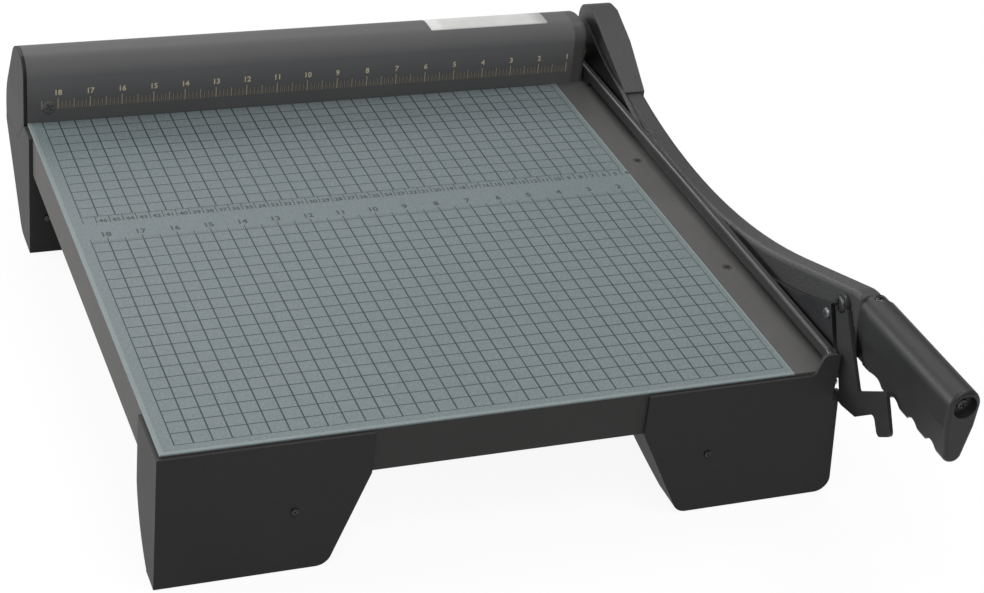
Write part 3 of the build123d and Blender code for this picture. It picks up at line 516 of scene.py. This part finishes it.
rule_ink, place = new_finish("rule_ink", {"Specular IOR Level": 0.3})
worn = place.noise(400.0, 3.0)
feed(rule_ink, {
    "Base Color": worn.blend((0.44, 0.37, 0.25, 1.0), (0.70, 0.61, 0.44, 1.0)),
    "Roughness": 0.4 + 0.2 * worn,
})
upright = Matrix.Rotation(math.pi / 2, 4, "X")
rule_marks = [(n, (zero_x - n * inch, bar_low.y - print_depth, rule_number_z)) for n in range(1, 19)]
numerals("bar_rule_numbers", rule_marks, rule_number_size, upright, "base", rule_ink)

# Blank film: a plain white self-adhesive film, cut with rounded corners and rubbed down over the bar's
# rounded top.
film_white, place = new_finish("film_white", {"Specular IOR Level": 0.12})
dirt = place.noise(60.0, 5.0)
feed(film_white, {
    "Base Color": dirt.blend((0.55, 0.55, 0.54, 1.0), (0.44, 0.44, 0.43, 1.0)),
    "Roughness": 0.5 + 0.15 * dirt,
})
film_left, film_right = 80.8 * mm, 184.8 * mm
film_front, film_back = 262.0 * mm, 287.0 * mm
film_stand = 0.08 * mm
film_corner = 2.0 * mm
front_round, back_round, flat_width = 15.5 * mm, 30.0 * mm, 8.5 * mm
flat_front = bar_low.y + front_round
flat_back = flat_front + flat_width
film = bmesh.new()
bmesh.ops.create_grid(film, x_segments=8, y_segments=24, size=0.5)
for vert in film.verts:
    vert.co.x = film_left + (vert.co.x + 0.5) * (film_right - film_left)
    vert.co.y = film_front + (vert.co.y + 0.5) * (film_back - film_front)
    in_front = max(0.0, flat_front - vert.co.y)
    behind = max(0.0, vert.co.y - flat_back)
    fall = (front_round - math.sqrt(front_round ** 2 - in_front ** 2)
            + back_round - math.sqrt(back_round ** 2 - behind ** 2))
    vert.co.z = bar_high.z - fall + film_stand
corners = [vert for vert in film.verts if len(vert.link_edges) == 2]
bmesh.ops.bevel(film, geom=corners, offset=film_corner, affect="VERTICES", segments=4, profile=0.5, material=-1)
film_mesh = bpy.data.meshes.new("blank_film")
film.to_mesh(film_mesh)
film.free()
film_mesh.shade_smooth()
film_piece = placed("blank_film", film_mesh, "base", film_white)
film_thickness = film_piece.modifiers.new("film_thickness", "SOLIDIFY")
film_thickness.thickness = 0.07 * mm
film_thickness.offset = -1.0

# Left end cap: a grey moulded cap that closes the bar's end and reaches down past the board in a point,
# with one pan-head screw through the bar's front.
cap_plastic = grained("cap_plastic", (0.014, 0.014, 0.0145), (0.022, 0.022, 0.0225), 0.55, 900.0, 0.1 * mm,
                      {"Specular IOR Level": 0.16})
softened("left_end_cap", 0.9 * mm, "base", cap_plastic)
screw_grey = grained("screw_grey_paint", (0.082, 0.082, 0.084), (0.104, 0.104, 0.106), 0.5, 800.0, 0.06 * mm,
                     {"Specular IOR Level": 0.25})
cross_screws("cap_screw", (0, -1, 0), "base", screw_grey)

# Pivot bracket: the cast block at the bar's right end that carries the arm's bolt, nut and brass washer.
# It is screwed up through the board.
cast_black = grained("cast_black_paint", (0.056, 0.056, 0.057), (0.082, 0.082, 0.084), 0.5, 600.0, 0.12 * mm,
                     {"Specular IOR Level": 0.25})
softened("pivot_bracket", 0.8 * mm, "base", cast_black)
dress("bracket_screws", screw_black)
softened("pivot_bolt", 0.4 * mm, "base", knife_steel)
softened("pivot_nut", 0.4 * mm, "base", knife_steel)
turned_brass, place = new_finish("turned_brass", {"Metallic": 1.0})
tarnish = place.noise(90.0, 5.0)
turning = place.noise(1500.0, 2.0)
feed(turned_brass, {
    "Base Color": tarnish.blend((0.62, 0.47, 0.20, 1.0), (0.36, 0.26, 0.12, 1.0)),
    "Roughness": 0.25 + 0.25 * tarnish,
    "Normal": turning.bump(0.03 * mm, 0.3),
})
dress("pivot_washer", turned_brass)
dress("pivot_bush", turned_brass)

# Blade arm: a curved aluminium casting in black wrinkle paint, with a wide housing over the pivot and a
# plain plastic cap over the bolt's head.
wrinkle, place = new_finish("black_wrinkle_paint", {"Specular IOR Level": 0.5})
bubbles = place.node("ShaderNodeTexVoronoi", {"feature": "SMOOTH_F1"}, {"Vector": place, "Scale": 430.0})
ripple = place.noise(700.0, 3.0)
patches = place.noise(18.0, 4.0)
relief = 0.6 * bubbles + 0.6 * ripple
mottle = 0.5 * patches + 0.5 * ripple
feed(wrinkle, {
    "Base Color": mottle.blend((0.016, 0.016, 0.016, 1.0), (0.036, 0.036, 0.036, 1.0)),
    "Roughness": 0.45 + 0.2 * ripple,
    "Normal": relief.bump(0.5 * mm, 0.7),
})
softened("blade_arm", 0.8 * mm, "arm", wrinkle)
softened("pivot_cap", 0.3 * mm, "arm", leg_plastic)

# Cutting blade: a curved steel blade screwed to the arm's left side, dark from oil and blueing, with
# grinding lines along it. The screw at its front end is bare worn steel.
blade_steel = ground_steel("blade_steel", (0.035, 0.035, 0.037), (0.10, 0.10, 0.105), 0.32,
                           (700.0, 40.0, 900.0))
softened("cutting_blade", 0.25 * mm, "arm", blade_steel)
cross_screws("blade_screws", (1, 0, 0), "arm", screw_black)
worn_steel = ground_steel("worn_steel", (0.11, 0.11, 0.112), (0.26, 0.26, 0.265), 0.3, (900.0, 900.0, 900.0))
cross_screws("front_blade_screw", (-1, 0, 0), "arm", worn_steel)

# Grip: a black plastic moulding on the arm's tang with finger grooves below, held by a screw on top and
# one sunk in its end.
grip_plastic = grained("grip_plastic", (0.012, 0.012, 0.012), (0.021, 0.021, 0.021), 0.47, 700.0, 0.12 * mm,
                       {"Specular IOR Level": 0.38})
softened("handle_grip", 0.6 * mm, "arm", grip_plastic)
cross_screws("grip_top_screw", (0, 0, 1), "arm", screw_black)
cross_screws("grip_end_screw", (0, -1, 0), "arm", screw_black)

# Latch: a hooked plate in black painted steel that turns on a shoulder screw in the arm's neck, with a
# brass washer behind it.
satin_black = grained("satin_black_paint", (0.017, 0.017, 0.017), (0.028, 0.028, 0.028), 0.42, 420.0,
                      0.05 * mm, {"Specular IOR Level": 0.4})
softened("latch_plate", 0.5 * mm, "latch", satin_black)
cross_screws("latch_screw", (-1, 0, 0), "arm", screw_black)
dress("latch_washer", turned_brass)

# Floor: a plain white studio sweep. The camera and mirror-like surfaces see it white; it bounces less
# light than that, so that the black pieces keep their shade.
floor_reach = 8.0
floor_shape = bmesh.new()
bmesh.ops.create_grid(floor_shape, x_segments=1, y_segments=1, size=floor_reach)
floor_mesh = bpy.data.meshes.new("floor")
floor_shape.to_mesh(floor_mesh)
floor_shape.free()
floor = bpy.data.objects.new("floor", floor_mesh)
bpy.context.scene.collection.objects.link(floor)
floor_white, place = new_finish("floor_white", {"Roughness": 0.9, "Specular IOR Level": 0.0})
floor_mesh.materials.append(floor_white)
rays = [place.node("ShaderNodeLightPath", {}, {}, output=name)
        for name in ("Is Camera Ray", "Is Glossy Ray", "Is Transmission Ray")]
seen = rays[0] | rays[1] | rays[2]
feed(floor_white, {"Base Color": seen.blend((0.26, 0.26, 0.26, 1.0), (0.96, 0.96, 0.96, 1.0))})
glow = place.node("ShaderNodeEmission", {}, {"Color": (1.0, 1.0, 1.0, 1.0), "Strength": 1.0})
lit = Tone(floor_white.node_tree.nodes["Principled BSDF"].outputs[0])
floor_mix = place.node("ShaderNodeMixShader", {}, {0: 0.92 * seen, 1: lit, 2: glow})
output = floor_white.node_tree.nodes["Material Output"]
floor_white.node_tree.links.new(floor_mix.socket, output.inputs["Surface"])

# Studio light: a broad soft lamp low on the left, one behind the bar and one above the arm for the sheen
# on the tops, a weak one over the front, a weak fill from the front left, and a pale even surround.
def soft_lamp(name, spot, target, width, height, power):
    """A soft lamp at a spot, turned towards a target."""
    light = bpy.data.lights.new(name, "AREA")
    light.shape = "RECTANGLE"
    light.size = width
    light.size_y = height
    light.energy = power
    lamp = bpy.data.objects.new(name, light)
    bpy.context.scene.collection.objects.link(lamp)
    lamp.location = spot
    lamp.rotation_euler = (Vector(target) - Vector(spot)).to_track_quat("-Z", "Y").to_euler()


soft_lamp("left_lamp", (-1.95, 0.75, 0.58), (0.0, 0.0, 0.1), 1.5, 0.7, 41.0)
soft_lamp("rear_lamp", (-0.1, 2.8, 1.7), (0.0, 0.0, 0.1), 2.0, 2.0, 44.0)
soft_lamp("arm_lamp", (0.9, 0.5, 2.0), (0.2, 0.1, 0.1), 0.9, 0.9, 14.0)
soft_lamp("front_lamp", (0.1, -0.7, 1.7), (0.1, -0.3, 0.1), 0.8, 0.8, 9.0)
soft_lamp("fill_lamp", (-0.5, -1.2, 1.4), (0.1, 0.0, 0.1), 1.0, 1.0, 9.0)
world = bpy.data.worlds.new("surround")
bpy.context.scene.world = world
world.use_nodes = True
surround = world.node_tree.nodes["Background"]
surround.inputs["Color"].default_value = (1.0, 1.0, 1.0, 1.0)
surround.inputs["Strength"].default_value = 0.24
bpy.context.scene.view_settings.view_transform = "Standard"

# Camera: a long lens from the left and above the front edge, a little rolled, placed as in the
# photograph.
camera_spot = Vector((-529.78, -1315.81, 936.98)) * mm
turn, tilt, roll = math.radians(-23.69), math.radians(31.3), math.radians(6.59)
backward = Vector((math.sin(turn) * math.cos(tilt), -math.cos(turn) * math.cos(tilt), math.sin(tilt)))
level = (-backward).cross(Vector((0, 0, 1))).normalized()
upward = level.cross(-backward)
right = level * math.cos(roll) + upward * math.sin(roll)
top = upward * math.cos(roll) - level * math.sin(roll)
lens = bpy.data.cameras.new("camera")
lens.sensor_width = 36.0
lens.lens = 81.72
lens.clip_end = 50.0
camera = bpy.data.objects.new("camera", lens)
bpy.context.scene.collection.objects.link(camera)
axes = Matrix((right, top, backward)).transposed().to_4x4()
camera.matrix_world = Matrix.Translation(camera_spot) @ axes
bpy.context.scene.camera = camera
